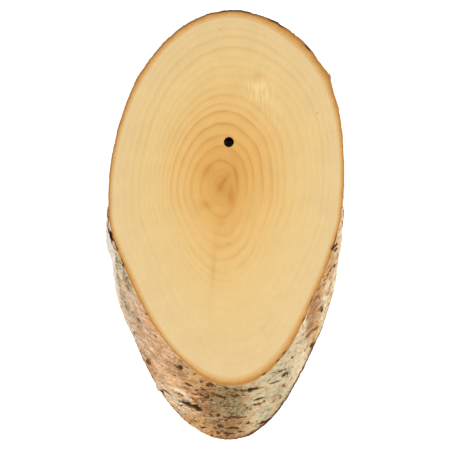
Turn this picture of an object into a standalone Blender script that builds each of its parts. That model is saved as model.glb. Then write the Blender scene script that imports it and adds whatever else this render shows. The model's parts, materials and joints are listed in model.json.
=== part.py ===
"""A birch wood slice: one slab sawn at a slant from a small birch log, with its bark on and one hole drilled through.

The log lies over at LEAN when the two parallel saw cuts are level, so each sawn face is a long oval, the lower face
stands out past the upper one along -Y, and the bark between them slopes. +Z points out of the upper sawn face, the
lower face rests on z = 0, and the origin is the middle of the underside of the whole slice.

Run with: blender --background --python part.py
"""

import math

import bmesh
import bpy
from mathutils import Vector, noise

# The slab between its two saw cuts, in metres.
THICKNESS = 0.027
LEAN = math.radians(55.0)  # between the grain and a line square to the cuts
FACE_HALF_WIDTH = 0.0705
FACE_HALF_LENGTH = 0.1134

# The drilled hole, square to the cuts. Its centre is counted from the centre of the upper face.
HOLE_DIAMETER = 0.006
HOLE_FROM_FACE_CENTRE = Vector((0.0012, 0.0336))
HOLE_SIDES = 48
DRILL_OVERRUN = 0.005

# A log is never quite round. Each swelling is a direction in degrees, clockwise from +Y as seen from above, a
# height as a share of the oval's radius, and a spread in degrees. A height below zero is a flat on the log.
ROUND_SHARE = 1.015
SWELLINGS = (
    (52.0, 0.060, 17.0),
    (124.0, -0.100, 20.0),
    (212.0, -0.080, 17.0),
    (240.0, -0.065, 13.0),
    (265.0, 0.010, 10.0),
    (330.0, -0.030, 30.0),
)

# Lumps where the bark stands off the wood, or hollows where its outer layers are gone: direction in degrees, share
# of the height, rise (below zero for a hollow) and radius in metres.
BARK_LUMPS = (
    (53.0, 0.95, 0.0022, 0.0045),
    (99.0, 0.62, 0.0022, 0.0080),
    (143.0, 0.00, -0.0016, 0.0280),
    (163.0, 0.00, -0.0017, 0.0280),
    (206.0, 0.30, 0.0014, 0.0050),
    (208.0, 0.00, 0.0022, 0.0260),
    (214.0, 0.42, 0.0012, 0.0045),
    (262.0, 0.72, 0.0024, 0.0075),
)

# The bark's own unevenness, drawn out round the log as birch bark is.
BARK_RELIEF = 0.0007
BARK_PATCH_AROUND = 0.022
BARK_PATCH_ALONG = 0.009

STEPS_AROUND = 168
STEPS_UP = 9


def outline_share(direction):
    """The log's size in a direction in radians clockwise from +Y, as a share of the face's plain oval."""
    share = ROUND_SHARE
    for degrees, height, spread in SWELLINGS:
        away = (math.degrees(direction) - degrees + 180.0) % 360.0 - 180.0
        share += height * math.exp(-0.5 * (away / spread) ** 2)
    return share


def outline_point(direction):
    """The bark's outline on a sawn face, from that face's centre."""
    share = outline_share(direction)
    return Vector((FACE_HALF_WIDTH * share * math.sin(direction), FACE_HALF_LENGTH * share * math.cos(direction)))


def grain_offset(height):
    """How far the leaning grain has carried the outline along Y at this height, from its place on the upper face."""
    return Vector((0.0, (height - THICKNESS) * math.tan(LEAN)))


def bark_rise(direction, height):
    """How far the bark stands proud of the smooth log: its fine unevenness and the lumps."""
    radius = (FACE_HALF_WIDTH + FACE_HALF_LENGTH * math.cos(LEAN)) / 2
    around = direction * radius
    seam = Vector((math.cos(direction), math.sin(direction))) * radius / BARK_PATCH_AROUND
    rise = BARK_RELIEF * noise.noise(Vector((seam.x, seam.y, height / BARK_PATCH_ALONG)))
    for degrees, share, lump_rise, lump_radius in BARK_LUMPS:
        lump = Vector((math.radians(degrees) * radius, share * THICKNESS))
        away = (Vector((around, height)) - lump).length
        rise += lump_rise * math.exp(-0.5 * (away / (lump_radius / 2)) ** 2)
    return rise


def material(name, colour, roughness):
    """A Principled material of one colour."""
    made = bpy.data.materials.new(name)
    made.use_nodes = True
    shader = made.node_tree.nodes["Principled BSDF"]
    shader.inputs["Base Color"].default_value = (*colour, 1.0)
    shader.inputs["Roughness"].default_value = roughness
    shader.inputs["Metallic"].default_value = 0.0
    made.diffuse_color = (*colour, 1.0)
    return made


def new_collection(name):
    made = bpy.data.collections.new(name)
    bpy.context.scene.collection.children.link(made)
    return made


def log_between_the_cuts(collection):
    """The oval outline carried up along the leaning grain in even steps, and closed by the two flat saw cuts."""
    shape = bmesh.new()
    rings = [bmesh.ops.create_circle(shape, cap_ends=True, segments=STEPS_AROUND, radius=1.0)["verts"]]
    for _ in range(STEPS_UP):
        top = set(rings[-1])
        edges = [edge for edge in shape.edges if top.issuperset(edge.verts)]
        grown = bmesh.ops.extrude_edge_only(shape, edges=edges)["geom"]
        rings.append([item for item in grown if isinstance(item, bmesh.types.BMVert)])
    bmesh.ops.holes_fill(shape, edges=shape.edges[:], sides=0)

    for step, ring in enumerate(rings):
        height = THICKNESS * step / STEPS_UP
        for vert in ring:
            direction = math.atan2(vert.co.x, vert.co.y) % math.tau
            place = outline_point(direction)
            place += place.normalized() * bark_rise(direction, height)
            place += grain_offset(height)
            vert.co = (place.x, place.y, height)
    bmesh.ops.recalc_face_normals(shape, faces=shape.faces[:])

    mesh = bpy.data.meshes.new("birch_slice")
    shape.to_mesh(mesh)
    shape.free()
    log = bpy.data.objects.new("birch_slice", mesh)
    collection.objects.link(log)
    return log


def colour_faces(log):
    """Sawn wood on the two level faces and bark on the slope between them."""
    log.data.materials.append(material("sawn_birch", (0.81, 0.59, 0.29), 0.55))
    log.data.materials.append(material("birch_bark", (0.62, 0.50, 0.38), 0.85))
    for face in log.data.polygons:
        level = abs(face.normal.z) > 0.99
        face.material_index = 0 if level else 1
        face.use_smooth = not level


def drill_hole(log, collection):
    """One plain hole through both faces."""
    bpy.ops.mesh.primitive_cylinder_add(
        vertices=HOLE_SIDES,
        radius=HOLE_DIAMETER / 2,
        depth=THICKNESS + 2 * DRILL_OVERRUN,
        location=(HOLE_FROM_FACE_CENTRE.x, HOLE_FROM_FACE_CENTRE.y, THICKNESS / 2),
    )
    drill = bpy.context.active_object
    drill.name = "drill"
    for owner in list(drill.users_collection):
        owner.objects.unlink(drill)
    collection.objects.link(drill)
    drill.data.materials.append(log.data.materials[0])
    drill.hide_render = True
    drill.display_type = "WIRE"

    cut = log.modifiers.new("drilled_hole", "BOOLEAN")
    cut.operation = "DIFFERENCE"
    cut.object = drill
    return drill


def put_origin_under_the_middle(log, drill):
    """Moves the log and its drill together, so that the origin is the middle of the slice's underside."""
    for axis in (0, 1):
        places = [vert.co[axis] for vert in log.data.vertices]
        middle = (min(places) + max(places)) / 2
        log.location[axis] -= middle
        drill.location[axis] -= middle


def main():
    for old in list(bpy.data.objects):
        bpy.data.objects.remove(old)
    parts = new_collection("birch_wood_slice")
    cutters = new_collection("cutters")
    log = log_between_the_cuts(parts)
    colour_faces(log)
    drill = drill_hole(log, cutters)
    put_origin_under_the_middle(log, drill)


main()
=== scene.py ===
"""A birch wood slice: a slab sawn at a slant from a small birch log, bark on, with one hole drilled through.

Everything is in metres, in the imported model's own frame: +Z out of the upper sawn face, the slice resting on
z = 0, and +Y along the long way of the slice. The grain of the log leans over, so the lower face stands out
past the upper one along -Y, and the bark slopes between the two saw cuts.
"""

import json
import math
import random

import bpy
import numpy as np
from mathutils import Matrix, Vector, geometry, noise


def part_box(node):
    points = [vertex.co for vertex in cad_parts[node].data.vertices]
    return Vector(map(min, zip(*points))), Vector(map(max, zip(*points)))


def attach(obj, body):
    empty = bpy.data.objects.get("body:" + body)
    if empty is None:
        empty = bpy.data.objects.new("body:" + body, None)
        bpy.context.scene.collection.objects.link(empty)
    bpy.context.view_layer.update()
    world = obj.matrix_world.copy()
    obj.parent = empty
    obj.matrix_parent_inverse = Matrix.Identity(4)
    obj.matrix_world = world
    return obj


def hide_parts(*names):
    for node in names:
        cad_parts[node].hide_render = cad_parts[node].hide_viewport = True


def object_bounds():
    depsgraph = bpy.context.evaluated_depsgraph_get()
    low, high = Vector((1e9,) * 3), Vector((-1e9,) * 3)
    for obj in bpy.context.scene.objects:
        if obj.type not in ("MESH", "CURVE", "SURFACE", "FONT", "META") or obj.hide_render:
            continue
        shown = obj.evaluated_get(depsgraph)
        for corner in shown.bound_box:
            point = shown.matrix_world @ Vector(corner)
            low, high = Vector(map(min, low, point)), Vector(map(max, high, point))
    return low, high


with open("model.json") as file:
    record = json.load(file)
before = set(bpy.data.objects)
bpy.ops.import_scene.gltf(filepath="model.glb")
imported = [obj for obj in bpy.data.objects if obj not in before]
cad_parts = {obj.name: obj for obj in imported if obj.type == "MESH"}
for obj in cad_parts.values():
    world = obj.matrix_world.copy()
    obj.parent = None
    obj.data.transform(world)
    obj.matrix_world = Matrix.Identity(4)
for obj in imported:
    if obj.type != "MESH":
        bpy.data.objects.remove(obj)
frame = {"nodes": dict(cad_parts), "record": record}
cad_low, cad_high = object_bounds()

# ---- The sawn wood ---------------------------------------
# A stem of birch, cross-cut at a slant with a fine saw, sanded and left bare. Close-grained pale sapwood
# lies round a small reddish heart, and the slant draws each growth ring out into an oval. One hole is
# drilled square through.

low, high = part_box("birch_slice")
THICKNESS = high.z
HOLE_CENTRE = np.array(frame["record"]["physics"]["openings"][0]["box_m"]).mean(axis=0)[:2]
log_corners = np.array([vert.co for vert in frame["nodes"]["birch_slice"].data.vertices])
from_hole = np.hypot(*(log_corners[:, :2] - HOLE_CENTRE).T)
HOLE_RADIUS = float(from_hole.min())
mantle_corners = log_corners[from_hole > 3 * HOLE_RADIUS]
LEVELS = np.unique(np.round(mantle_corners[:, 2], 5))

AROUND = 960  # points round the log, about 0.65 mm apart
headings = np.arange(AROUND) / AROUND * math.tau  # clockwise from +Y, as seen from above
compass = np.column_stack((np.sin(headings), np.cos(headings)))


def loop_at(level):
    """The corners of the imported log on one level, in plan."""
    return mantle_corners[np.abs(mantle_corners[:, 2] - level) < 1e-5][:, :2]


upper_loop, foot_loop = loop_at(LEVELS[-1]), loop_at(LEVELS[0])
UPPER_MIDDLE = (upper_loop.max(axis=0) + upper_loop.min(axis=0)) / 2
HALF_SIZE = (upper_loop.max(axis=0) - upper_loop.min(axis=0)) / 2
FOOT_MIDDLE = (foot_loop.max(axis=0) + foot_loop.min(axis=0)) / 2
GRAIN_RUN = float(UPPER_MIDDLE[1] - FOOT_MIDDLE[1]) / THICKNESS  # metres along Y for each metre up the grain
LEAN = math.atan(GRAIN_RUN)


def middle_at(height):
    """The middle of the log where a level plane cuts it."""
    return UPPER_MIDDLE + np.array((0.0, (height - THICKNESS) * GRAIN_RUN))


def round_smooth(values, width):
    """A closed row of values, averaged over a bell of that many steps."""
    reach = np.arange(-2 * width, 2 * width + 1)
    bell = np.exp(-0.5 * (reach / (width / 2)) ** 2)
    wrapped = np.concatenate((values[-2 * width :], values, values[: 2 * width]))
    return np.convolve(wrapped, bell / bell.sum(), "valid")


def reach_at(level):
    """The log's outline on one level, as a share of the plain oval, at each heading."""
    offset = (loop_at(level) - middle_at(level)) / HALF_SIZE
    bearing = np.arctan2(offset[:, 0], offset[:, 1]) % math.tau
    order = np.argsort(bearing)
    return np.interp(headings, bearing[order], np.hypot(*offset.T)[order], period=math.tau)


level_reach = np.array([round_smooth(reach_at(level), 5) for level in LEVELS])
smooth_log = UPPER_MIDDLE + (level_reach.mean(axis=0)[:, None] * compass) * HALF_SIZE


def outward(loop):
    """The outward direction in plan at each point of a clockwise loop."""
    run = np.roll(loop, -1, axis=0) - np.roll(loop, 1, axis=0)
    run /= np.hypot(*run.T)[:, None]
    return np.column_stack((-run[:, 1], run[:, 0]))


log_outward = outward(smooth_log)
# How much wider the slant cut shows a layer.
slant_stretch = np.sqrt(1.0 + (log_outward[:, 1] * GRAIN_RUN) ** 2)

# Birch of this age has bark about 2 mm thick, and thicker where the log swells over an old branch.
BARK_THICK = 0.0021
BARK_THICK_AT_SWELLING = 0.0013
SWELLING_HEADING = math.radians(40.0)
SWELLING_SPREAD = math.radians(14.0)


def away_from(heading, centre):
    """How far a heading is from another, in radians, either way round."""
    return (heading - centre + math.pi) % math.tau - math.pi


bark_thick = BARK_THICK + BARK_THICK_AT_SWELLING * np.exp(
    -0.5 * (away_from(headings, SWELLING_HEADING) / SWELLING_SPREAD) ** 2
)

wood_loop = smooth_log - log_outward * (bark_thick * slant_stretch)[:, None]

LATTICE = 0.0012  # spacing of the mesh over the sawn faces
WALL_SIDES = 64
CHAMFER = 0.00025  # the drill leaves the hole's edge just broken
CHAMFER_DEPTH = 0.0003


def ring_of(radius, height):
    turn = np.arange(WALL_SIDES) / WALL_SIDES * math.tau
    ring = HOLE_CENTRE + radius * np.column_stack((np.sin(turn), np.cos(turn)))
    return np.column_stack((ring, np.full(WALL_SIDES, height)))


def bearing_and_reach(points, centre):
    offset = points - centre
    return np.arctan2(offset[:, 0], offset[:, 1]) % math.tau, np.hypot(*offset.T)


def share_of_loop(points, centre, loop):
    """How far out each point is, from 0 at the centre to 1 on the loop."""
    bearing, reach = bearing_and_reach(loop, centre)
    order = np.argsort(bearing)
    at, far = bearing_and_reach(points, centre)
    return far / np.interp(at, bearing[order], reach[order], period=math.tau)


def sawn_face(loop, height):
    """Points and triangles of one sawn face, even in size, from its outline in to the hole's broken edge."""
    middle = loop.mean(axis=0)
    hole = ring_of(HOLE_RADIUS + CHAMFER, height)[:, :2]
    lowest, highest = loop.min(axis=0), loop.max(axis=0)
    rows = np.arange(lowest[1], highest[1], LATTICE * math.sqrt(3) / 2)
    columns = np.arange(lowest[0], highest[0], LATTICE)
    across, along = np.meshgrid(columns, rows)
    across[::2] += LATTICE / 2
    inside = np.column_stack((across.ravel(), along.ravel()))
    deep = 1.0 - LATTICE * 0.7 / np.hypot(*(loop - middle).T).min()
    inside = inside[share_of_loop(inside, middle, loop) < deep]
    inside = inside[np.hypot(*(inside - HOLE_CENTRE).T) > HOLE_RADIUS + CHAMFER + LATTICE * 0.6]
    points = np.vstack((loop, hole, inside))
    edges = [(step, (step + 1) % AROUND) for step in range(AROUND)]
    edges += [(AROUND + step, AROUND + (step + 1) % WALL_SIDES) for step in range(WALL_SIDES)]
    cut = geometry.delaunay_2d_cdt([Vector(point) for point in points.tolist()], edges, [], 0, 1e-9)
    assert len(cut[0]) == len(points), "the triangulation must keep every point"
    triangles = np.array(cut[2])
    # Triangles that touch only the outline may bridge a hollow of it. Those turn the other way in the
    # outline's order.
    first, second, third = (points[corner] for corner in np.sort(triangles, axis=1).T)
    turning = np.cross(second - first, third - first)
    outline_only = triangles.max(axis=1) < AROUND
    in_hole = (triangles.min(axis=1) >= AROUND) & (triangles.max(axis=1) < AROUND + WALL_SIDES)
    kept = ~in_hole & (~outline_only | (turning < 0.0))
    return np.column_stack((points, np.full(len(points), height))), triangles[kept]


def band(first, second, count):
    """Quads between two closed rows of points, given where each row starts."""
    step = np.arange(count)
    after = (step + 1) % count
    return np.column_stack((first + step, first + after, second + after, second + step))


upper_points, upper_triangles = sawn_face(wood_loop, THICKNESS)
lower_points, lower_triangles = sawn_face(wood_loop - (0.0, THICKNESS * GRAIN_RUN), 0.0)
wall_heights = (
    THICKNESS - CHAMFER_DEPTH,
    THICKNESS * 0.75,
    THICKNESS * 0.5,
    THICKNESS * 0.25,
    CHAMFER_DEPTH,
)
wall_points = np.vstack([ring_of(HOLE_RADIUS, height) for height in wall_heights])
wood_points = np.vstack((upper_points, lower_points, wall_points))
lower_start = len(upper_points)
wall_start = lower_start + len(lower_points)
wall_rings = [AROUND]
wall_rings += [wall_start + WALL_SIDES * row for row in range(len(wall_heights))]
wall_rings += [lower_start + AROUND]
wood_faces = upper_triangles.tolist()
wood_faces += (lower_triangles[:, ::-1] + lower_start).tolist()
wood_faces += band(0, lower_start, AROUND).tolist()
bore_from = len(wood_faces)
for ring, below in zip(wall_rings, wall_rings[1:]):
    wood_faces += band(below, ring, WALL_SIDES).tolist()


def new_piece(name, points, faces):
    """A smooth-shaded mesh object at the frame's origin."""
    mesh = bpy.data.meshes.new(name)
    mesh.from_pydata(points.tolist(), [], faces)
    mesh.validate()
    piece = bpy.data.objects.new(name, mesh)
    bpy.context.scene.collection.objects.link(piece)
    mesh.polygons.foreach_set("use_smooth", [True] * len(mesh.polygons))
    return piece


def paint(piece, name, values):
    """Keeps one number, or one vector, for each point of the mesh, for its material to read."""
    values = np.asarray(values, dtype=np.float32)
    kind = "FLOAT" if values.ndim == 1 else "FLOAT_VECTOR"
    kept = piece.data.attributes.new(name, kind, "POINT")
    kept.data.foreach_set("value" if values.ndim == 1 else "vector", values.ravel())


sawn_wood = new_piece("sawn_wood", wood_points, wood_faces)
sawn_wood.data.set_sharp_from_angle(angle=math.radians(20.0))

# The growth rings. Each is a scaled copy of the cambium about the pith, and the pith lies off the middle.
# The numbers are the shares of the way out from the pith at which each year's growth ends, and how dark its
# last wood is.
PITH = UPPER_MIDDLE + (-0.0030, 0.0079)
YEARS = (
    (0.00, 0.30),
    (0.06, 0.45),
    (0.10, 0.40),
    (0.16, 1.00),
    (0.25, 0.95),
    (0.31, 0.80),
    (0.38, 0.95),
    (0.45, 0.90),
    (0.49, 0.50),
    (0.54, 0.60),
    (0.59, 0.40),
    (0.65, 0.35),
    (0.70, 0.40),
    (0.75, 0.30),
    (0.81, 0.85),
    (0.88, 0.60),
    (0.93, 0.35),
    (0.97, 0.20),
    (1.00, 0.10),
)
year_spans, year_darks = np.array(YEARS).T


def noise_of(points, seed, octaves=1):
    """Soft noise from about -1 to 1 at each point, which is given in units of the noise's own grain."""
    total = np.zeros(len(points))
    for octave in range(octaves):
        shifted = points * 2.0**octave + np.array((17.3 * seed, 5.1 * octave, 31.7))
        total += 0.55**octave * np.array([noise.noise(point) for point in shifted.tolist()])
    return total


def blot(spots, place, size, turn=0.0):
    """A soft oval mark, 1 at its middle, in the units of spots. turn is in degrees, anticlockwise."""
    away = spots - np.array(place)
    turn = math.radians(turn)
    along = away[:, 0] * math.cos(turn) + away[:, 1] * math.sin(turn)
    aside = -away[:, 0] * math.sin(turn) + away[:, 1] * math.cos(turn)
    return np.exp(-0.5 * ((along / size[0]) ** 2 + (aside / size[1]) ** 2))


# Where each point of the wood grew. The fields follow the grain, so both faces show the same rings.
grain_shift = (wood_points[:, 2:] - THICKNESS) * np.array((0.0, GRAIN_RUN))
plan = wood_points[:, :2] - grain_shift
span = np.clip(share_of_loop(plan, PITH, wood_loop), 0.0, 1.0)
bearing, _ = bearing_and_reach(plan, PITH)
spots = (plan - PITH) * 1000.0  # mm from the pith
deep_spots = np.column_stack((spots, wood_points[:, 2] * 1000.0))

# The stem grew a little faster on one side when young, and on the other past this share.
TURN_OF_AGE = 0.55
young_wave = np.sin(math.pi * np.clip(span / TURN_OF_AGE, 0.0, 1.0))
young = 0.035 * young_wave * np.cos(bearing - math.radians(245.0))
older_wave = np.sin(math.pi * np.clip((span - TURN_OF_AGE) / (1.0 - TURN_OF_AGE), 0.0, 1.0))
older = 0.060 * older_wave * np.cos(bearing - math.radians(85.0))
uneven = 0.006 * noise_of(deep_spots / (9.0, 14.0, 40.0), 1, 2) * np.minimum(1.0, span * 6.0)
grown = np.clip(span - young - older + uneven, 0.0, 1.0)
years = np.interp(grown, year_spans, np.arange(len(YEARS)))
ring_dark = np.interp(years, np.arange(len(YEARS)), year_darks)
ring_dark *= 0.60 + 0.30 * np.cos(bearing - math.radians(345.0)) + 0.40 * noise_of(deep_spots / 15.0, 2, 2)
ring_dark *= 1.0 - 0.45 * np.clip((span - 0.45) / 0.3, 0.0, 1.0)

# The tone runs from the warm heart out to the pale sapwood. It stays warm further out on the upper and
# right sides.
tone = span - 0.07 * np.cos(bearing - math.radians(20.0)) * np.sin(math.pi * span)
tone += 0.03 * noise_of(deep_spots / (14.0, 30.0, 40.0), 3, 2) * np.sin(math.pi * span)

# Brown stain in the heart, in blots and a streak below the pith, in mm from the pith.
HEART_STAINS = (
    ((1.2, 1.4), (4.0, 0.9), 55.0, 0.90),
    ((-0.6, -1.6), (1.5, 2.0), 0.0, 0.90),
    ((22.0, 65.7), (3.0, 1.6), 0.0, 0.45),
    ((6.2, -7.0), (1.9, 4.2), 0.0, 0.85),
    ((-9.2, -12.0), (2.2, 1.7), 0.0, 0.65),
    ((-8.4, 9.0), (2.0, 3.4), -30.0, 0.55),
    ((9.0, 5.0), (1.2, 8.0), 5.0, 0.45),
    ((-0.4, -23.0), (2.0, 1.3), 0.0, 0.40),
    ((-3.0, -38.0), (2.6, 2.0), 0.0, 0.30),
    ((-4.4, -46.0), (1.0, 14.0), -4.0, 0.32),
    ((4.3, -35.6), (0.9, 0.5), 15.0, 0.70),
)
stain = np.zeros(len(spots))
for place, size, turn, strength in HEART_STAINS:
    stain = np.maximum(stain, strength * blot(spots, place, size, turn))

# A patch of rippled figure above and to the right of the pith, where a branch began to grow in, and two
# fainter ones.
figure = 1.3 * blot(spots, (23.0, 58.0), (5.0, 4.4)) + 0.55 * blot(spots, (27.0, 50.0), (5.0, 5.0))
figure += 0.35 * blot(spots, (34.0, 41.0), (3.5, 6.0))

paint(sawn_wood, "years", years)
paint(sawn_wood, "ring_dark", np.clip(ring_dark, 0.0, 1.3))
paint(sawn_wood, "tone", tone)
paint(sawn_wood, "stain", stain)
paint(sawn_wood, "figure", figure)


def linear(hex_colour):
    """An sRGB hex colour as linear numbers, with full opacity."""
    channels = [int(hex_colour[place : place + 2], 16) / 255 for place in (1, 3, 5)]
    return tuple(c / 12.92 if c <= 0.04045 else ((c + 0.055) / 1.055) ** 2.4 for c in channels) + (1.0,)


def add_node(tree, kind, settings=None, links=None):
    """Adds a node. settings maps a property, or an input's name or number, to its value. links maps an input
    to the output that feeds it."""
    node = tree.nodes.new(kind)
    for name, value in (settings or {}).items():
        if name == "stops":
            ramp = node.color_ramp
            while len(ramp.elements) < len(value):
                ramp.elements.new(0.5)
            for element, (place, colour) in zip(ramp.elements, value):
                element.position = place
                element.color = linear(colour) if isinstance(colour, str) else (colour, colour, colour, 1.0)
        elif isinstance(name, int) or not hasattr(node, name):
            node.inputs[name].default_value = value
        else:
            setattr(node, name, value)
    for name, output in (links or {}).items():
        tree.links.new(output, node.inputs[name])
    return node


def ranged(value, low_end, high_end, to_low=0.0, to_high=1.0):
    """A value carried from one range to another and held between the second one's ends."""
    settings = {"From Min": low_end, "From Max": high_end, "To Min": to_low, "To Max": to_high}
    return add_node(tree, "ShaderNodeMapRange", settings, {0: value}).outputs[0]


def combined(operation, first, second):
    """The output of a maths node. Each argument is a node's output or a plain number."""
    settings, links = {"operation": operation}, {}
    for socket, value in ((0, first), (1, second)):
        if isinstance(value, bpy.types.NodeSocket):
            links[socket] = value
        else:
            settings[socket] = value
    return add_node(tree, "ShaderNodeMath", settings, links).outputs[0]


def new_material(name, roughness, ior):
    """A Principled material, its tree and its shader. What is the same all over is set on the shader."""
    made = bpy.data.materials.new(name)
    made.use_nodes = True
    shader = made.node_tree.nodes["Principled BSDF"]
    shader.inputs["Roughness"].default_value = roughness
    shader.inputs["IOR"].default_value = ior
    shader.inputs["Metallic"].default_value = 0.0
    # Dry and dusty, so half the gloss of a clean face.
    shader.inputs["Specular IOR Level"].default_value = 0.25
    return made, made.node_tree, shader


# Sanded birch end grain, bare and dry: a matt face, honey in the heart and cream outside, with a thin brown
# line where each year's growth ends. Wood reflects like cellulose, IOR about 1.53, and sanded wood is
# rough.
birch, tree, shader = new_material("sanded_birch_end_grain", 0.6, 1.53)
attribute = {
    name: add_node(tree, "ShaderNodeAttribute", {"attribute_name": name})
    for name in ("years", "ring_dark", "tone", "stain", "figure")
}
place = add_node(tree, "ShaderNodeTexCoord").outputs["Object"]
tone_colour = add_node(
    tree,
    "ShaderNodeValToRGB",
    {
        "stops": (
            (0.00, "#da9f4c"),
            (0.20, "#e7b261"),
            (0.40, "#edc178"),
            (0.66, "#edca88"),
            (0.985, "#eacb92"),
            (1.00, "#e0b272"),
        )
    },
    {"Fac": attribute["tone"].outputs["Fac"]},
).outputs["Color"]


def mix_colour(tree, blend, factor, first, second):
    """The output of a colour mix. Each argument is a node's output or a plain value."""
    settings = {"data_type": "RGBA", "blend_type": blend}
    links = {}
    for socket, value in ((0, factor), (6, first), (7, second)):
        if isinstance(value, bpy.types.NodeSocket):
            links[socket] = value
        else:
            settings[socket] = value
    return add_node(tree, "ShaderNodeMix", settings, links).outputs[2]


in_year = add_node(tree, "ShaderNodeMath", {"operation": "FRACT"}, {0: attribute["years"].outputs["Fac"]})
# How dark the wood of one year is, from its first growth to its last.
YEAR_SHADES = (
    (0.0, 0.85), (0.07, 0.35), (0.20, 0.03), (0.55, 0.08), (0.80, 0.50), (0.93, 0.92), (1.0, 1.0)
)
late_wood = add_node(tree, "ShaderNodeValToRGB", {"stops": YEAR_SHADES}, {"Fac": in_year.outputs[0]})
ring_amount = combined("MULTIPLY", late_wood.outputs["Color"], attribute["ring_dark"].outputs["Fac"])
ringed = mix_colour(tree, "MULTIPLY", ring_amount, tone_colour, linear("#ecdab0"))
stained = mix_colour(tree, "MULTIPLY", attribute["stain"].outputs["Fac"], ringed, linear("#e9cfa2"))

# The fibres are cut at a slant, so the pores they leave are long along Y. Real pores are under 0.1 mm wide
# and are drawn here about four times that, to show at all.
fibre_place = add_node(
    tree,
    "ShaderNodeMapping",
    {"Scale": (1 / 0.0005, 1 / 0.0035, 1 / 0.002)},
    {"Vector": place},
)
fibres = add_node(
    tree,
    "ShaderNodeTexNoise",
    {"Scale": 1.0, "Detail": 3.0, "Roughness": 0.6},
    {"Vector": fibre_place.outputs[0]},
)
fibre_shade = ranged(fibres.outputs[0], 0.3, 0.7, 0.95, 1.03)
cloud = add_node(tree, "ShaderNodeTexNoise", {"Scale": 1 / 0.012, "Detail": 2.0}, {"Vector": place})
cloud_shade = ranged(cloud.outputs[0], 0.3, 0.7, 0.97, 1.02)
grained = mix_colour(tree, "MULTIPLY", 1.0, stained, combined("MULTIPLY", fibre_shade, cloud_shade))

# The figure: short pale strokes side by side, along Y.
stroke_place = add_node(
    tree,
    "ShaderNodeMapping",
    {"Scale": (1 / 0.0017, 1 / 0.007, 1 / 0.01)},
    {"Vector": place},
)
stroke_noise = add_node(
    tree, "ShaderNodeTexNoise", {"Scale": 1.0, "Detail": 0.5}, {"Vector": stroke_place.outputs[0]}
)
strokes = ranged(stroke_noise.outputs[0], 0.42, 0.62, 0.0, 0.65)
stroke_amount = combined("MULTIPLY", strokes, attribute["figure"].outputs["Fac"])
figured = mix_colour(tree, "MIX", stroke_amount, grained, linear("#f8dc9c"))

# A few dark specks, about 0.6 mm across and 20 mm apart.
speck_cells = add_node(tree, "ShaderNodeTexVoronoi", {"Scale": 1 / 0.017}, {"Vector": place})
specks = ranged(speck_cells.outputs["Distance"], 0.035, 0.018, 0.0, 0.55)
specked = mix_colour(tree, "MIX", specks, figured, linear("#9a6a3a"))
tree.links.new(specked, shader.inputs["Base Color"])
tree.links.new(ranged(fibres.outputs[0], 0.3, 0.7, 0.55, 0.68), shader.inputs["Roughness"])
relief = combined("SUBTRACT", fibres.outputs[0], ring_amount)
bump = add_node(tree, "ShaderNodeBump", {"Strength": 0.25, "Distance": 0.0001}, {"Height": relief})
tree.links.new(bump.outputs[0], shader.inputs["Normal"])
sawn_wood.data.materials.append(birch)

# The bore: painted shade, nearly black as deep down a narrow hole, with the burr of the fibres left rough.
bore_shade, tree, shader = new_material("birch_bore_painted_shade", 0.85, 1.53)
place = add_node(tree, "ShaderNodeTexCoord").outputs["Object"]
bore_noise = add_node(tree, "ShaderNodeTexNoise", {"Scale": 1 / 0.0012, "Detail": 4.0}, {"Vector": place})
bore_shade_colour = add_node(
    tree, "ShaderNodeValToRGB", {"stops": ((0.35, "#120a06"), (0.7, "#2c1a10"))}, {"Fac": bore_noise.outputs[0]}
)
tree.links.new(bore_shade_colour.outputs[0], shader.inputs["Base Color"])
bump = add_node(tree, "ShaderNodeBump", {"Strength": 0.6, "Distance": 0.0002}, {"Height": bore_noise.outputs[0]})
tree.links.new(bump.outputs[0], shader.inputs["Normal"])
sawn_wood.data.materials.append(bore_shade)
for face in range(bore_from + WALL_SIDES, len(wood_faces) - WALL_SIDES):
    sawn_wood.data.polygons[face].material_index = 1

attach(sawn_wood, "root")
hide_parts("birch_slice")

# ---- The bark --------------------------------------------
# One band of birch bark right round the wood, as thick as it grew. Outside is papery cork in thin layers
# that wear back one under another, with breathing pores drawn out round the log. Both saw cuts show the
# brown inner bark.

ROWS = 74
shares = np.linspace(0.0, 1.0, ROWS + 1)
heights = shares * THICKNESS
row_reach = np.array([np.interp(heights, LEVELS, column) for column in level_reach.T]).T
centres = np.array([middle_at(height) for height in heights])
mantle = centres[:, None, :] + row_reach[:, :, None] * compass[None] * HALF_SIZE

# Each point of the mantle in the log's own measures: mm round the log, and mm along its grain.
off_axis = mantle - centres[:, None, :]
LOG_RADIUS = float((HALF_SIZE[0] + HALF_SIZE[1] * math.cos(LEAN)) / 2 * 1000.0)
turn_round = np.arctan2(off_axis[..., 0], off_axis[..., 1] * math.cos(LEAN))
round_mm = (turn_round % math.tau) * LOG_RADIUS
grain_mm = (heights[:, None] / math.cos(LEAN) + off_axis[..., 1] * math.sin(LEAN)) * 1000.0
on_log = np.stack((np.sin(turn_round) * LOG_RADIUS, np.cos(turn_round) * LOG_RADIUS, grain_mm), axis=-1)
heading_deg = np.degrees(headings)[None, :] + np.zeros_like(grain_mm)
share_grid = shares[:, None] + np.zeros_like(grain_mm)


def bark_noise(size_round, size_grain, seed, octaves=2):
    """Noise over the mantle, drawn out round the log. The sizes are in mm."""
    points = on_log.reshape(-1, 3) / (size_round, size_round, size_grain)
    return noise_of(points, seed, octaves).reshape(grain_mm.shape)


# How far marks on the bark wander from a plain shape, in mm round the log and along its grain.
WANDER_ROUND = 1.1 * bark_noise(2.2, 1.3, 20, 3)
WANDER_GRAIN = 0.5 * bark_noise(2.0, 1.0, 21, 3)


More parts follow.
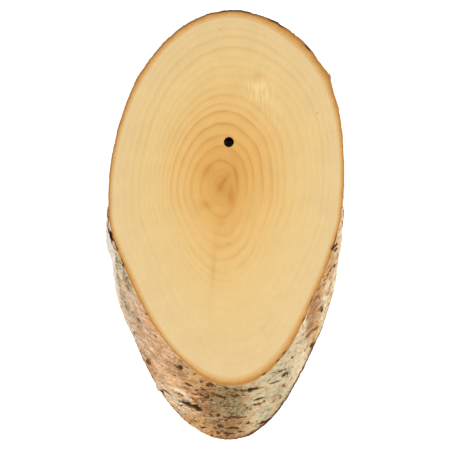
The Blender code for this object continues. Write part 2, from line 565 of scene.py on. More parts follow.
def mark(heading, share, half_length, half_width, slope=0.0, ragged=1.0):
    """A firm-edged mark on the mantle, its length lying round the log. The lengths are in mm."""
    column = round(heading / 360.0 * AROUND) % AROUND
    row = round(share * ROWS)
    half_turn = math.pi * LOG_RADIUS
    along = (round_mm - round_mm[row, column] + half_turn) % (2 * half_turn) - half_turn
    aside = grain_mm - grain_mm[row, column] - slope * along
    wander = min(1.0, half_width) * ragged
    along = along + WANDER_ROUND * wander
    aside = aside + WANDER_GRAIN * wander
    # A mark thins to a point at both ends.
    out = (along / half_length) ** 2 + (aside / half_width) ** 2 * (1.0 + np.abs(along / half_length))
    return np.clip(1.5 - 1.15 * out, 0.0, 1.0)


# How far the borders between kinds of bark wander, in degrees and in shares of the height.
BORDER_ROUND = 2.6 * bark_noise(8.0, 5.0, 30, 3)
BORDER_UP = 0.09 * bark_noise(8.0, 4.0, 31, 3)


def spread(heading, share, wide, high_share, wander=0.0):
    """A soft area of the mantle, wide in degrees and high in shares of the thickness."""
    away = (heading_deg + wander * BORDER_ROUND - heading + 180.0) % 360.0 - 180.0
    up = share_grid + wander * BORDER_UP - share
    return np.exp(-0.5 * ((away / wide) ** 2 + (up / high_share) ** 2))


# The kinds of bark, from white paper where it is whole, through cream and the salmon and tan of the cork
# under it, to brown where it is worn back furthest. Olive ground is old and damp, and sage is sound bark
# with a green bloom.
WHITE_PAPER = "#fff3df"
CREAM = "#fbe2b6"
SALMON = "#f3bd86"
TAN = "#dda563"
BROWN = "#aa7136"
OLIVE = "#a98c54"
SAGE = "#d6c69a"

# The patches in the order they are laid: heading, share of the height, width in degrees and height in
# shares of the thickness, and the kind of bark.
PATCHES = (
    (110, 0.5, 16, 2.0, TAN),
    (100, 0.3, 5, 0.5, CREAM),
    (113, 0.3, 4, 0.3, CREAM),
    (138, 0.5, 8, 1.0, CREAM),
    (155, 0.5, 11, 1.0, SAGE),
    (127, 0.8, 4, 0.3, BROWN),
    (180, 0.6, 8, 0.6, OLIVE),
    (196, 0.8, 9, 0.4, TAN),
    (190, 0.6, 4, 0.2, BROWN),
    (181, 0.2, 7, 0.2, BROWN),
    (192, 0.1, 9, 0.15, TAN),
    (222, 0.5, 10, 0.6, SALMON),
    (228, 0.2, 4, 0.2, TAN),
    (209, 0.2, 6, 0.1, CREAM),
    (249, 0.5, 10, 2.0, CREAM),
    (264, 0.4, 6, 0.7, WHITE_PAPER),
    (300, 0.5, 18, 2.0, CREAM),
    (345, 0.5, 14, 2.0, BROWN),
    (80, 0.5, 12, 2.0, CREAM),
)


def tinted(ground, amount, hex_colour):
    """The ground colour with some of another laid over it."""
    amount = np.clip(amount, 0.0, 1.0)[..., None]
    return ground * (1.0 - amount) + np.array(linear(hex_colour)[:3]) * amount


ground = np.ones(grain_mm.shape + (3,)) * np.array(linear(SALMON)[:3])
for heading, share, wide, tall, kind in PATCHES:
    ground = tinted(ground, 1.9 * spread(heading, share, wide, tall, 1.0) - 0.35, kind)

# The bark is streaky where it has worn, and smoother where it is sound.
streaky = 0.10 + 0.80 * spread(203, 0.5, 18, 1.0) + 0.55 * spread(118, 0.5, 12, 1.0)
streaky += 0.4 * spread(345, 0.5, 30, 1.0)
# How many of the outer layers are still on, from 0 to 1. The paler the ground, the more.
sound = np.clip((ground.mean(axis=2) ** (1 / 2.2) - 0.42) / 0.48, 0.0, 1.0)
wear = sound + (0.10 + 0.14 * streaky) * bark_noise(9.0, 2.6, 5, 4)
wear += 0.14 * streaky * bark_noise(3.4, 1.0, 9, 2)
wear += 0.12 * bark_noise(7.0, 5.0, 13, 2)

# Strips where one more paper layer has peeled away, or one more has stayed on.
rng = random.Random(11)
for _ in range(360):
    strip = mark(rng.uniform(0, 360), rng.random(), rng.uniform(1.5, 8.0), rng.uniform(0.35, 1.0))
    wear += rng.choice((-0.22, -0.14, 0.16, 0.24)) * strip * streaky

# The layers end in low steps, with a dark line painted along each: dirt caught there, and painted shade under
# the step.
LAYERS = 6
stepped = np.clip(wear, 0.0, 1.0) * LAYERS
within = stepped - np.floor(stepped)
layer = (np.floor(stepped) + np.clip(within * 3.0 - 1.0, 0.0, 1.0)) / LAYERS
dirt = np.exp(-(((within - 0.42) / 0.16) ** 2)) * np.clip(0.5 + 1.2 * bark_noise(7.0, 3.0, 12), 0.0, 1.0)
more = layer - sound
ground = tinted(ground, 1.5 * more, "#f0dfc2")
ground = tinted(ground, -1.7 * more, "#a66a38")

# On the sound bark sage grey patches lie among peach ones, and cream flakes among salmon pink.
sage = np.clip(3.0 * bark_noise(7.0, 7.0, 33, 2) + 0.5, 0.0, 1.0)
smooth = np.clip(1.3 * spread(155, 0.5, 12, 0.6), 0.0, 1.0)
ground = tinted(ground, 0.60 * sage * smooth, "#cfc6a2")
ground = tinted(ground, 0.45 * (1.0 - sage) * smooth, "#e0b588")
cream = np.clip(4.0 * bark_noise(6.0, 3.6, 34, 3) - 0.1, 0.0, 1.0)
salmon = np.clip(1.3 * spread(240, 0.5, 13, 0.8), 0.0, 1.0)
ground = tinted(ground, 0.65 * cream * salmon, "#f4e6cc")
ground = tinted(ground, 0.35 * (1.0 - cream) * salmon, "#e0a07c")
# Where it is worn, cream strips are left among the tan.
left_on = np.clip(4.0 * bark_noise(8.0, 2.2, 35, 3) - 0.5, 0.0, 1.0)
ground = tinted(ground, 0.5 * left_on * streaky, "#f0d6ae")
rubbed = np.clip(4.0 * bark_noise(9.0, 4.0, 36, 3) - 0.4, 0.0, 1.0)
ground = tinted(ground, 0.4 * rubbed * streaky, "#96602e")
# The cream flap above the largest scar, and the pale strip below it.
ground = tinted(ground, mark(206, 0.45, 7.0, 2.2, 0.25), CREAM)
ground = tinted(ground, 0.9 * mark(208, 0.22, 9.0, 2.4, 0.25), "#f0dcba")
ground = tinted(ground, 0.9 * mark(196, 0.58, 3.0, 1.2), "#e6b070")

# Scars, cracks, old branch eyes and the larger breathing pores: heading, share of height, half length round
# the log and half width in mm, slope, depth in mm, and how dark.
SCARS = (
    (214, 0.16, 5.0, 0.5, 0.10, 0.30, 0.75),
    (205, 0.42, 5.0, 0.5, 0.10, 0.30, 0.80),
    (197, 0.60, 3.0, 0.5, 0.00, 0.30, 0.80),
    (190, 0.66, 1.7, 1.6, 0.00, 0.70, 0.85),
    (188, 0.41, 0.9, 1.3, 0.00, 0.40, 0.70),
    (184, 0.43, 1.8, 0.9, 0.00, 0.40, 0.75),
    (174, 0.41, 6.0, 0.6, 0.00, 0.45, 0.90),
    (180, 0.37, 1.1, 1.0, 0.00, 0.40, 0.70),
    (186, 0.19, 1.8, 1.0, 0.00, 0.40, 0.70),
    (183, 0.24, 2.4, 1.4, 0.20, 0.40, 0.75),
    (177, 0.21, 6.6, 0.8, 0.00, 0.45, 0.85),
    (179, 0.12, 4.4, 1.0, 0.10, 0.30, 0.70),
    (182, 0.79, 2.4, 1.2, 0.10, 0.60, 0.90),
    (186, 0.80, 3.6, 0.8, 0.15, 0.20, 0.50),
    (180, 0.94, 1.5, 1.7, 0.30, 0.30, 0.70),
    (188, 0.94, 2.4, 1.6, 0.00, 0.30, 0.60),
    (175, 0.81, 3.6, 1.1, 0.00, 0.20, 0.55),
    (176, 0.69, 0.5, 3.6, 0.00, 0.20, 0.40),
    (168, 0.87, 3.4, 1.6, 0.00, 0.80, 0.95),
    (168, 0.87, 7.6, 0.6, 0.02, 0.40, 0.80),
    (174, 0.92, 4.0, 0.7, 0.05, 0.30, 0.60),
    (163, 0.60, 5.2, 0.8, 0.00, 0.40, 0.80),
    (164, 0.51, 4.6, 1.0, 0.00, 0.25, 0.42),
    (151, 0.77, 6.6, 0.6, 0.22, 0.40, 0.80),
    (154, 0.66, 6.0, 0.8, 0.20, 0.30, 0.55),
    (148, 0.58, 2.8, 1.7, 0.00, 0.60, 0.85),
    (146, 0.50, 0.9, 3.2, 0.00, 0.40, 0.55),
    (148, 0.38, 1.8, 1.5, 0.00, 0.40, 0.65),
    (143, 0.69, 0.9, 0.9, 0.00, 0.30, 0.90),
    (141, 0.73, 1.6, 0.5, 0.50, 0.20, 0.50),
    (139, 0.79, 2.2, 0.5, 0.30, 0.20, 0.50),
    (150, 0.20, 3.0, 0.6, 0.10, 0.20, 0.50),
    (129, 0.50, 3.0, 0.9, 0.00, 0.30, 0.55),
    (124, 0.12, 2.4, 2.4, 0.00, 0.40, 0.75),
    (121, 0.30, 3.4, 1.0, 0.10, 0.30, 0.60),
    (116, 0.39, 2.0, 1.8, 0.00, 0.30, 0.65),
    (105, 0.94, 4.2, 1.6, 0.00, 0.90, 1.00),
    (100, 0.60, 2.8, 2.6, 0.00, 1.40, 0.60),
    (94, 0.34, 2.0, 1.8, 0.00, 0.90, 0.85),
    (103, 0.83, 2.0, 1.4, 0.00, 0.60, 0.65),
    (104, 0.61, 2.4, 0.9, 0.00, 0.30, 0.65),
    (108, 0.71, 2.6, 0.9, 0.00, 0.30, 0.65),
    (111, 0.77, 2.6, 0.9, 0.00, 0.30, 0.65),
    (114, 0.82, 2.0, 0.8, 0.00, 0.20, 0.60),
    (118, 0.62, 2.4, 0.8, 0.00, 0.20, 0.55),
    (217, 0.04, 1.6, 1.4, 0.00, 0.30, 0.85),
    (205, 0.82, 2.6, 2.0, -0.20, 0.70, 0.90),
    (200, 0.69, 3.4, 0.9, 0.15, 0.50, 0.85),
    (221, 0.86, 1.0, 0.9, 0.00, 0.30, 0.65),
    (236, 0.57, 2.0, 1.8, 0.00, 0.30, 0.40),
    (242, 0.45, 1.6, 1.0, 0.00, 0.30, 0.45),
    (241, 0.13, 1.0, 1.0, 0.00, 0.30, 0.90),
    (254, 0.98, 1.1, 1.2, 0.00, 0.50, 0.90),
    (248, 0.98, 1.4, 1.0, 0.00, 0.40, 0.80),
    (228, 0.98, 1.1, 0.9, 0.00, 0.30, 0.70),
)
scar = np.zeros_like(grain_mm)
dig = np.zeros_like(grain_mm)
torn = 0.95 + 0.75 * bark_noise(1.8, 0.9, 4)
# The largest scar is a wedge, pointed at one end and torn off short at the other.
LARGEST_SCAR = (
    (202.5, 0.31, 4.6, 0.9),
    (199.0, 0.36, 4.8, 1.8),
    (195.5, 0.39, 4.0, 2.6),
)
for heading, share, half_length, half_width in LARGEST_SCAR:
    wedge = mark(heading, share, half_length, half_width, 0.30, 0.35)
    scar = np.maximum(scar, wedge)
    dig = np.maximum(dig, wedge)
for heading, share, half_length, half_width, slope, depth, dark in SCARS:
    shape = np.clip(mark(heading, share, half_length, half_width, slope) * torn, 0.0, 1.0)
    scar = np.maximum(scar, dark * shape)
    dig = np.maximum(dig, depth * shape)

# Small breathing pores all round, 2 to 9 mm long and about 1 mm wide, each a low lip with a dark slit. They
# are few on the smooth salmon side.
pore = np.zeros_like(grain_mm)
for _ in range(520):
    heading = rng.uniform(0, 360)
    half_length = 0.8 + 4.2 * rng.random() ** 2
    strength = rng.uniform(0.15, 0.75) ** 1.2 * (0.35 if 207 < heading < 262 or 132 < heading < 171 else 1.0)
    pore = np.maximum(pore, strength * mark(heading, rng.random(), half_length, rng.uniform(0.30, 0.60)))

# Grains of dirt and bits of dark bark, thickest on the worn and mossy side.
for _ in range(220):
    heading = rng.gauss(187, 14)
    grain = mark(
        heading, rng.random(), rng.uniform(0.5, 1.6), rng.uniform(0.35, 0.9), rng.uniform(-0.4, 0.4)
    )
    pore = np.maximum(pore, rng.uniform(0.2, 0.7) * grain)

flaky = spread(97, 0.55, 6, 0.35) + 0.6 * spread(262, 0.75, 6, 0.25) + 0.4 * spread(206, 0.25, 7, 0.2)
flaky += 0.6 * spread(300, 0.4, 12, 0.3) + 0.5 * spread(30, 0.5, 10, 0.3)
nub = mark(227, 0.21, 2.6, 2.4)
relief = 0.22 * bark_noise(20.0, 7.0, 6, 3) + 0.75 * (layer - 0.5) + 0.14 * bark_noise(2.6, 1.2, 7, 2)
relief += flaky * 0.9 * bark_noise(4.5, 2.2, 8, 3) + 0.12 * pore - dig + 1.6 * nub

# Taken from the level of the bark about it, so that the log keeps its size.
relief -= np.array([round_smooth(row, 40) for row in relief])
push = np.clip(relief, -1.6, 1.4) / 1000.0 * slant_stretch[None, :]
mantle = mantle + log_outward[None] * push[:, :, None]
mantle = np.clip(mantle, np.array(cad_low)[:2], np.array(cad_high)[:2])
mantle_rows = [np.column_stack((row, np.full(AROUND, height))) for row, height in zip(mantle, heights)]

RIM_DEPTHS = (0.06, 0.14, 0.26, 0.42, 0.60, 0.80, 1.0)


def rim_rows(outer, height, inside):
    """Rows across one cut edge of the bark, from its outer edge in to the wood."""
    plans = [outer + (inside - outer) * depth for depth in RIM_DEPTHS]
    return [np.column_stack((plan, np.full(AROUND, height))) for plan in plans]


foot_rim = rim_rows(mantle[0], 0.0, wood_loop - (0.0, THICKNESS * GRAIN_RUN))[::-1]
upper_rim = rim_rows(mantle[-1], THICKNESS, wood_loop)
bark_rows = foot_rim + mantle_rows + upper_rim
bark_faces = []
for row in range(len(bark_rows)):
    bark_faces += band((row + 1) % len(bark_rows) * AROUND, row * AROUND, AROUND).tolist()
birch_bark = new_piece("birch_bark", np.vstack(bark_rows), bark_faces)
row_of_face = np.arange(len(bark_faces)) // AROUND
is_cut = (row_of_face < len(foot_rim)) | (row_of_face >= len(foot_rim) + ROWS)
birch_bark.data.polygons.foreach_set("material_index", is_cut.astype(int).tolist())

# The four corners where bark meets cut, and cut meets wood, stay sharp.
corner_rows = (0, len(foot_rim), len(foot_rim) + ROWS, len(bark_rows) - 1)
ends = np.array([edge.vertices[:] for edge in birch_bark.data.edges]) // AROUND
sharp = (ends[:, 0] == ends[:, 1]) & np.isin(ends[:, 0], corner_rows)
birch_bark.data.attributes.new("sharp_edge", "BOOLEAN", "EDGE").data.foreach_set("value", sharp)


def over_the_bark(field):
    """A field over the mantle, carried on over the cut edges."""
    return np.concatenate([field[0]] * len(foot_rim) + list(field) + [field[-1]] * len(upper_rim))


# Crusts of lichen: heading, share of height, width in degrees, height in shares of the thickness, and
# strength.
LICHENS = (
    (255, 0.80, 1.6, 0.08, 0.8),
    (251, 0.88, 2.5, 0.07, 0.9),
    (247, 0.86, 1.8, 0.08, 0.9),
    (254, 0.47, 1.6, 0.10, 0.7),
    (243, 0.93, 3.0, 0.06, 1.0),
    (257, 0.62, 2.0, 0.12, 0.9),
    (244, 0.78, 2.0, 0.08, 0.8),
    (249, 0.30, 3.0, 0.10, 0.9),
    (236, 0.57, 2.0, 0.08, 0.7),
    (174, 0.53, 3.5, 0.07, 1.0),
    (178, 0.60, 3.0, 0.06, 0.7),
    (176, 0.92, 5.0, 0.06, 0.9),
    (181, 0.75, 5.0, 0.09, 0.8),
    (185, 0.30, 4.0, 0.08, 0.5),
    (182, 0.20, 5.0, 0.07, 0.6),
    (186, 0.55, 3.0, 0.08, 0.6),
    (152, 0.35, 2.0, 0.06, 0.5),
    (330, 0.70, 6.0, 0.20, 0.7),
    (45, 0.30, 6.0, 0.20, 0.7),
)
lichen = np.zeros_like(grain_mm)
for heading, share, wide, tall, strength in LICHENS:
    lichen += strength * spread(heading, share, wide, tall)
# Along the foot a thin dark line is painted on one side, reddest where it is widest.
foot_line_strength = np.clip(spread(143, 0, 19, 9) * 2.0 + 0.5 * spread(226, 0, 16, 9), 0.0, 1.0)
foot_line = np.exp(-share_grid / 0.05) * foot_line_strength
foot_line = np.maximum(foot_line, mark(158, 0.04, 8.0, 1.3, 0.05))
red = nub + mark(158, 0.04, 7.0, 1.4, 0.05) + 0.4 * mark(163, 0.60, 5.6, 1.2)
red += 0.25 * spread(238, 0.45, 4, 0.3)
# Heading 260 near the top is the gap behind the largest curl: painted shade, deep red brown and dark.
red += 0.9 * mark(260, 0.92, 4.6, 4.0) + 0.35 * mark(199, 0.62, 3.0, 1.4)
curl_gap_shade = mark(260, 0.92, 4.4, 3.4)
marks_and_shade = np.maximum.reduce((scar, pore, foot_line * 0.85, curl_gap_shade * 0.7, nub * 0.35))
paint(birch_bark, "ground", over_the_bark(ground))
paint(birch_bark, "dirt", over_the_bark(np.clip(dirt, 0.0, 1.0)))
paint(birch_bark, "lichen", over_the_bark(lichen))
paint(birch_bark, "red", over_the_bark(np.clip(red, 0.0, 1.0)))
# Scars, pores and other dark marks, with the painted shade in the gap behind the curl.
paint(birch_bark, "scar", over_the_bark(np.clip(marks_and_shade, 0.0, 1.0)))
paint(birch_bark, "streaky", over_the_bark(np.clip(streaky, 0.0, 1.0)))
# A dark line is painted along the papery outer edge round the top, black in places, and hardly at all lower
# down.
edge_dark = 0.6 * np.exp(-0.5 * (away_from(headings, math.radians(352.0)) / math.radians(38.0)) ** 2)
edge_dark += 0.35 * np.exp(-0.5 * (away_from(headings, math.radians(282.0)) / math.radians(14.0)) ** 2)
# Short black marks on that edge: heading and half width in degrees.
EDGE_MARKS = (
    (24.5, 2.2), (41.0, 1.0), (4.0, 5.0), (104.0, 2.0), (127.0, 0.7), (134.5, 0.6),
    (149.0, 0.8), (153.0, 0.6), (161.0, 0.7), (255.0, 1.0), (249.0, 0.8)
)
for heading, wide in EDGE_MARKS:
    edge_dark += 1.2 * np.exp(-0.5 * (away_from(headings, math.radians(heading)) / math.radians(wide)) ** 2)
paint(birch_bark, "edge", np.tile(np.clip(edge_dark, 0.0, 1.0), len(bark_rows)))
rim_depth = np.repeat(RIM_DEPTHS[::-1] + (0.0,) * (ROWS + 1) + RIM_DEPTHS, AROUND)
paint(birch_bark, "depth", rim_depth)

# Papery birch cork, weathered outdoors: matt and slightly waxy. Tan where it is worn back furthest, then
# salmon, then cream, and white with a bloom where it is whole, with dark pores and scars and grey green
# crusts of lichen.
papery, tree, shader = new_material("papery_birch_cork", 0.75, 1.5)
attribute = {
    name: add_node(tree, "ShaderNodeAttribute", {"attribute_name": name}).outputs["Fac"]
    for name in ("dirt", "lichen", "red", "scar", "streaky")
}
ground_colour = add_node(tree, "ShaderNodeAttribute", {"attribute_name": "ground"}).outputs["Vector"]
place = add_node(tree, "ShaderNodeTexCoord").outputs["Object"]
# Turned so that Z runs up the grain. A pattern is then drawn out round the log by a larger size in X and Y.
log_frame = add_node(tree, "ShaderNodeMapping", {"Rotation": (LEAN, 0.0, 0.0)}, {"Vector": place}).outputs[0]


def cork_noise(size_round, size_grain, detail=3.0, rough=0.55):
    """Noise drawn out round the log, its sizes in metres."""
    scale = (1 / size_round, 1 / size_round, 1 / size_grain)
    laid = add_node(tree, "ShaderNodeMapping", {"Scale": scale}, {"Vector": log_frame}).outputs[0]
    settings = {"Scale": 1.0, "Detail": detail, "Roughness": rough}
    return add_node(tree, "ShaderNodeTexNoise", settings, {"Vector": laid}).outputs[0]


fine = cork_noise(0.0026, 0.0011, 4.0, 0.65)
streaks = cork_noise(0.012, 0.0011, 3.0)
streaked = mix_colour(tree, "MULTIPLY", 1.0, ground_colour, ranged(streaks, 0.30, 0.70, 0.68, 1.28))
colour = mix_colour(tree, "MIX", attribute["streaky"], ground_colour, streaked)
colour = mix_colour(tree, "MULTIPLY", 1.0, colour, ranged(fine, 0.30, 0.70, 0.76, 1.30))
paper = ranged(cork_noise(0.005, 0.0014, 2.0), 0.60, 0.72, 0.0, 0.5)
colour = mix_colour(tree, "MIX", paper, colour, linear("#f3e4cb"))
# Dirt and painted shade along the steps of the layers.
colour = mix_colour(tree, "MIX", combined("MULTIPLY", attribute["dirt"], 0.7), colour, linear("#7a5533"))
moss = combined("MULTIPLY", attribute["lichen"], ranged(cork_noise(0.0024, 0.0016, 4.0, 0.7), 0.42, 0.54))
colour = mix_colour(tree, "MIX", moss, colour, linear("#8a8058"))
grime = combined("MULTIPLY", attribute["lichen"], ranged(cork_noise(0.0016, 0.0012, 3.0, 0.7), 0.56, 0.62))
colour = mix_colour(tree, "MIX", grime, colour, linear("#4a4028"))
flecks = ranged(cork_noise(0.0040, 0.0011, 2.0), 0.63, 0.70)
flecks = combined("MULTIPLY", flecks, ranged(attribute["streaky"], 0.0, 1.0, 0.35, 0.8))
colour = mix_colour(tree, "MIX", flecks, colour, linear("#63431f"))
colour = mix_colour(tree, "MIX", combined("MULTIPLY", attribute["red"], 0.9), colour, linear("#96401e"))
# The dark marks and the painted shade, ragged at their edges: brown at the rim, near black in the middle.
ragged_dark = combined("ADD", attribute["scar"], ranged(fine, 0.3, 0.7, -0.18, 0.18))
colour = mix_colour(tree, "MIX", ranged(ragged_dark, 0.11, 0.36), colour, linear("#74491f"))
core = mix_colour(tree, "MIX", ranged(streaks, 0.46, 0.66), linear("#1c130e"), linear("#54463a"))
core = mix_colour(tree, "MIX", attribute["red"], core, linear("#541a0a"))
colour = mix_colour(tree, "MIX", ranged(ragged_dark, 0.46, 0.72), colour, core)
tree.links.new(colour, shader.inputs["Base Color"])
tree.links.new(ranged(fine, 0.3, 0.7, 0.65, 0.9), shader.inputs["Roughness"])
grit = combined("ADD", fine, combined("MULTIPLY", streaks, 0.8))
bump = add_node(tree, "ShaderNodeBump", {"Strength": 0.7, "Distance": 0.0006}, {"Height": grit})
tree.links.new(bump.outputs[0], shader.inputs["Normal"])
birch_bark.data.materials.append(papery)

# The bark where the saw cut it: inner bark dried to orange brown and paling to the wood, with a dark line
# outside in places.
cut_bark, tree, shader = new_material("sawn_inner_bark", 0.7, 1.5)
place = add_node(tree, "ShaderNodeTexCoord").outputs["Object"]
depth = add_node(tree, "ShaderNodeAttribute", {"attribute_name": "depth"}).outputs["Fac"]
mottle = add_node(
    tree, "ShaderNodeTexNoise", {"Scale": 1 / 0.004, "Detail": 4.0}, {"Vector": place}
).outputs[0]
shifted = combined("ADD", depth, ranged(mottle, 0.3, 0.7, -0.10, 0.10))
rim_colour = add_node(
    tree,
    "ShaderNodeValToRGB",
    {
        "stops": (
            (0.00, "#c08a4c"),
            (0.24, "#c28540"),
            (0.62, "#d9a056"),
            (1.00, "#e6ba78"),
        )
    },
    {"Fac": shifted},
).outputs[0]
edge = add_node(tree, "ShaderNodeAttribute", {"attribute_name": "edge"}).outputs["Fac"]
outermost = combined("MULTIPLY", edge, ranged(depth, 0.36, 0.14))
rim_colour = mix_colour(tree, "MIX", outermost, rim_colour, linear("#3a2012"))
rim_fine = add_node(
    tree, "ShaderNodeTexNoise", {"Scale": 1 / 0.0010, "Detail": 4.0}, {"Vector": place}
).outputs[0]
rim_colour = mix_colour(tree, "MULTIPLY", 1.0, rim_colour, ranged(rim_fine, 0.3, 0.7, 0.90, 1.07))
tree.links.new(rim_colour, shader.inputs["Base Color"])
bump = add_node(tree, "ShaderNodeBump", {"Strength": 0.4, "Distance": 0.0002}, {"Height": rim_fine})
tree.links.new(bump.outputs[0], shader.inputs["Normal"])
birch_bark.data.materials.append(cut_bark)

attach(birch_bark, "root")
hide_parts("birch_slice")

# ---- The bark curls --------------------------------------
# Shreds of the outer bark that have torn loose and curled away from the log, thin as card. Each hangs on
# along one edge, and is the colour of the bark about it outside and tan inside, painted paler toward its loose
# edge, partly as painted light, and darker inside the fold as painted shade.

CURL_THICK = 0.00028
# Heading at each side and share of height at the held and the loose edge, how far the loose edge stands off
# in mm, how far it hooks back toward the log in mm, and how pale its loose edge is painted: white paper, with
# painted light where the curl faces down.
CURLS = (
    (255.5, 268.0, 0.30, 0.985, 2.3, 0.3, 0.90),
    (262.0, 269.5, 0.60, 0.995, 1.6, 0.3, 0.80),
    (83.0, 93.0, 0.30, 0.66, 1.5, 0.3, 0.15),
    (51.2, 54.6, 0.70, 0.995, 2.3, 1.0, 0.20),
    (217.0, 222.0, 0.16, 0.01, 1.5, 0.2, 0.30),
    (197.0, 206.0, 0.55, 0.44, 0.7, 0.1, 0.50),
    (20.0, 29.0, 0.50, 0.90, 1.6, 0.6, 0.10),
    (322.0, 331.0, 0.35, 0.75, 1.8, 0.7, 0.10),
    (292.0, 299.0, 0.80, 0.40, 1.2, 0.4, 0.15),
    (350.0, 357.0, 0.55, 0.20, 1.5, 0.6, 0.10),
)
ACROSS, OUTWARD_STEPS = 36, 12


def on_mantle(heading, share):
    """A point of the bark in plan, its height, the way out there, and the bark's colour and darkness."""
    column = heading / 360.0 * AROUND
    first = int(column) % AROUND
    after = (first + 1) % AROUND
    blend = column - int(column)
    row = min(max(share, 0.0), 1.0) * ROWS
    below = min(int(row), ROWS - 1)
    rise = row - below
    at = [mantle[below, side] * (1.0 - rise) + mantle[below + 1, side] * rise for side in (first, after)]
    plan_point = at[0] * (1.0 - blend) + at[1] * blend
    return plan_point, share * THICKNESS, log_outward[first], ground[below, first], marks_and_shade[below, first]


CURL_INSIDE = np.array(linear("#b8804c")[:3])
# The near white that the loose edges are painted toward, partly as painted light.
CURL_LOOSE_EDGE = np.array(linear("#fff4e6")[:3])

curl_points, curl_faces, curl_fields, curl_colours = [], [], [], []
for number, (from_heading, to_heading, held, loose, stand_off, hook, paleness_and_light_outside) in enumerate(CURLS):
    start = len(curl_points)
    ragged_edge = [noise.noise(Vector((number * 7.7, across * 0.45, 3.1))) for across in range(ACROSS + 1)]
    for side in (0, 1):
        for across in range(ACROSS + 1):
            u = across / ACROSS
            belly = math.sin(math.pi * u) ** 0.7
            heading = from_heading + (to_heading - from_heading) * u
            reach = 1.0 - 0.16 * abs(ragged_edge[across]) - 0.25 * (1.0 - belly)
            for step in range(OUTWARD_STEPS + 1):
                v = step / OUTWARD_STEPS * reach
                share = held + (loose - held) * v
                plan_point, height, way_out, bark_colour, marks = on_mantle(heading, share)
                off = (stand_off * v**1.6 - hook * max(0.0, v - 0.7) ** 2 * 11.0) * belly / 1000.0 - 0.0001
                off += 0.00025 * v * noise.noise(Vector((heading * 0.9, v * 4.0, number)))
                spot = plan_point + way_out * (off - side * CURL_THICK)
                curl_points.append((spot[0], spot[1], height))
                # Painted paler toward the loose edge: the white of the paper, and painted light where the curl
                # faces down.
                paleness_and_light = paleness_and_light_outside * min(1.0, v * 2.5) - 0.25 * abs(ragged_edge[across])
                if side == 1:
                    bark_colour, marks = CURL_INSIDE, 0.0
                    paleness_and_light = 0.75 * min(1.0, max(0.0, v * 3.0 - 1.6))
                # Inside, near the held edge, the curl is painted redder as inner bark, and darker as painted
                # shade in the fold.
                in_fold = side * min(1.0, max(0.0, 2.0 - v * 3.0))
                paleness_and_light = max(0.0, paleness_and_light)
                curl_colours.append(bark_colour * (1.0 - paleness_and_light) + CURL_LOOSE_EDGE * paleness_and_light)
                curl_fields.append((max(0.35 * in_fold, marks * (1.0 - paleness_and_light)), in_fold))
    width = OUTWARD_STEPS + 1
    sheet = (ACROSS + 1) * width
    grid = [across * width + step for across in range(ACROSS) for step in range(OUTWARD_STEPS)]
    flip = loose < held
    rim = list(range(width))
    rim += [across * width + OUTWARD_STEPS for across in range(1, ACROSS + 1)]
    rim += [ACROSS * width + step for step in range(OUTWARD_STEPS - 1, -1, -1)]
    rim += [across * width for across in range(ACROSS - 1, 0, -1)]
    faces = [(spot, spot + 1, spot + width + 1, spot + width) for spot in grid]
    for spot in grid:
        inner = sheet + spot
        faces.append((inner, inner + width, inner + width + 1, inner + 1))
    for place_in_rim, spot in enumerate(rim):
        following = rim[(place_in_rim + 1) % len(rim)]
        faces.append((spot, sheet + spot, sheet + following, following))
    for face in faces:
        if flip:
            face = face[::-1]
        curl_faces.append([start + corner for corner in face])

bark_curls = new_piece("bark_curls", np.array(curl_points), curl_faces)
bark_curls.data.set_sharp_from_angle(angle=math.radians(50.0))
curl_marks_and_shade, curl_red = np.array(curl_fields).T
paint(bark_curls, "ground", curl_colours)
paint(bark_curls, "scar", curl_marks_and_shade)
paint(bark_curls, "red", curl_red)
for name, level in (("dirt", 0.15), ("lichen", 0.0), ("streaky", 0.3)):
    paint(bark_curls, name, np.full(len(curl_points), level))
bark_curls.data.materials.append(papery)

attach(bark_curls, "root")

# ---- The studio ------------------------------------------
# A white card that glows a little, so that hardly a shadow shows round the slice, and two soft lamps to the
# sides. The patch of card right under the slice doesn't glow, and the lamps can't see down the bore, so the
# bore stays dark.

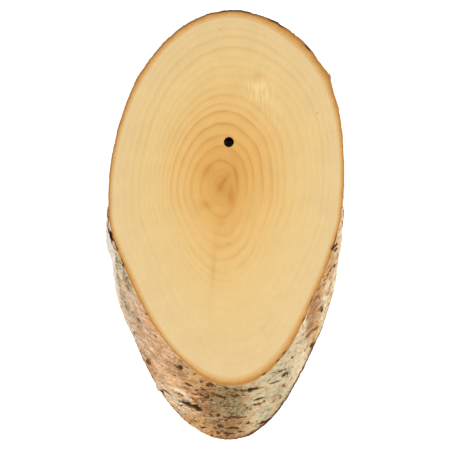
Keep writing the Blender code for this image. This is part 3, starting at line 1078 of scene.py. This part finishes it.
FLOOR_HALF = 2.5
PATCH_RADIUS = 0.02
CARD_SIDES = 48
patch_turns = np.arange(CARD_SIDES) / CARD_SIDES * math.tau
patch_ring = HOLE_CENTRE + PATCH_RADIUS * np.column_stack((np.cos(patch_turns), np.sin(patch_turns)))
far_ring = FLOOR_HALF * np.column_stack((np.cos(patch_turns), np.sin(patch_turns)))
FLOOR_DEPTH = 0.0002
card_points = np.column_stack((np.vstack((patch_ring, far_ring)), np.full(2 * CARD_SIDES, -FLOOR_DEPTH)))
card_faces = [list(range(CARD_SIDES))]
for side in range(CARD_SIDES):
    after = (side + 1) % CARD_SIDES
    card_faces.append([side, CARD_SIDES + side, CARD_SIDES + after, after])
floor = new_piece("white_card", card_points, card_faces)
for name, glow in (("white_card_in_shade", 0.0), ("white_card", 0.5)):
    card, tree, shader = new_material(name, 0.9, 1.45)
    shader.inputs["Base Color"].default_value = (0.86, 0.86, 0.86, 1.0)
    shader.inputs["Emission Color"].default_value = (1.0, 1.0, 1.0, 1.0)
    shader.inputs["Emission Strength"].default_value = glow
    floor.data.materials.append(card)
for face in floor.data.polygons[1:]:
    face.material_index = 1

world = bpy.data.worlds.new("studio")
bpy.context.scene.world = world
world.use_nodes = True
world.node_tree.nodes["Background"].inputs["Color"].default_value = (1.0, 1.0, 1.0, 1.0)
world.node_tree.nodes["Background"].inputs["Strength"].default_value = 0.30

for name, side, power in (("lamp_right", 1.0, 13.0), ("lamp_left", -1.0, 9.0)):
    lamp_data = bpy.data.lights.new(name, "AREA")
    lamp_data.shape = "RECTANGLE"
    lamp_data.size = 0.6
    lamp_data.size_y = 1.4
    lamp_data.energy = power
    lamp = bpy.data.objects.new(name, lamp_data)
    bpy.context.scene.collection.objects.link(lamp)
    lamp.location = (0.80 * side, -0.15, 1.3)
    lamp.rotation_euler = (-lamp.location).to_track_quat("-Z", "Y").to_euler()

# The camera looks straight down on the slice, over the middle of its length.
camera_data = bpy.data.cameras.new("camera")
camera_data.sensor_width = 36.0
camera_data.lens = 86.0
camera = bpy.data.objects.new("camera", camera_data)
bpy.context.scene.collection.objects.link(camera)
camera.location = (-0.0003, 0.0027, THICKNESS + 0.648)
camera_data.clip_start = 0.01
bpy.context.scene.camera = camera
bpy.context.scene.view_settings.view_transform = "Standard"
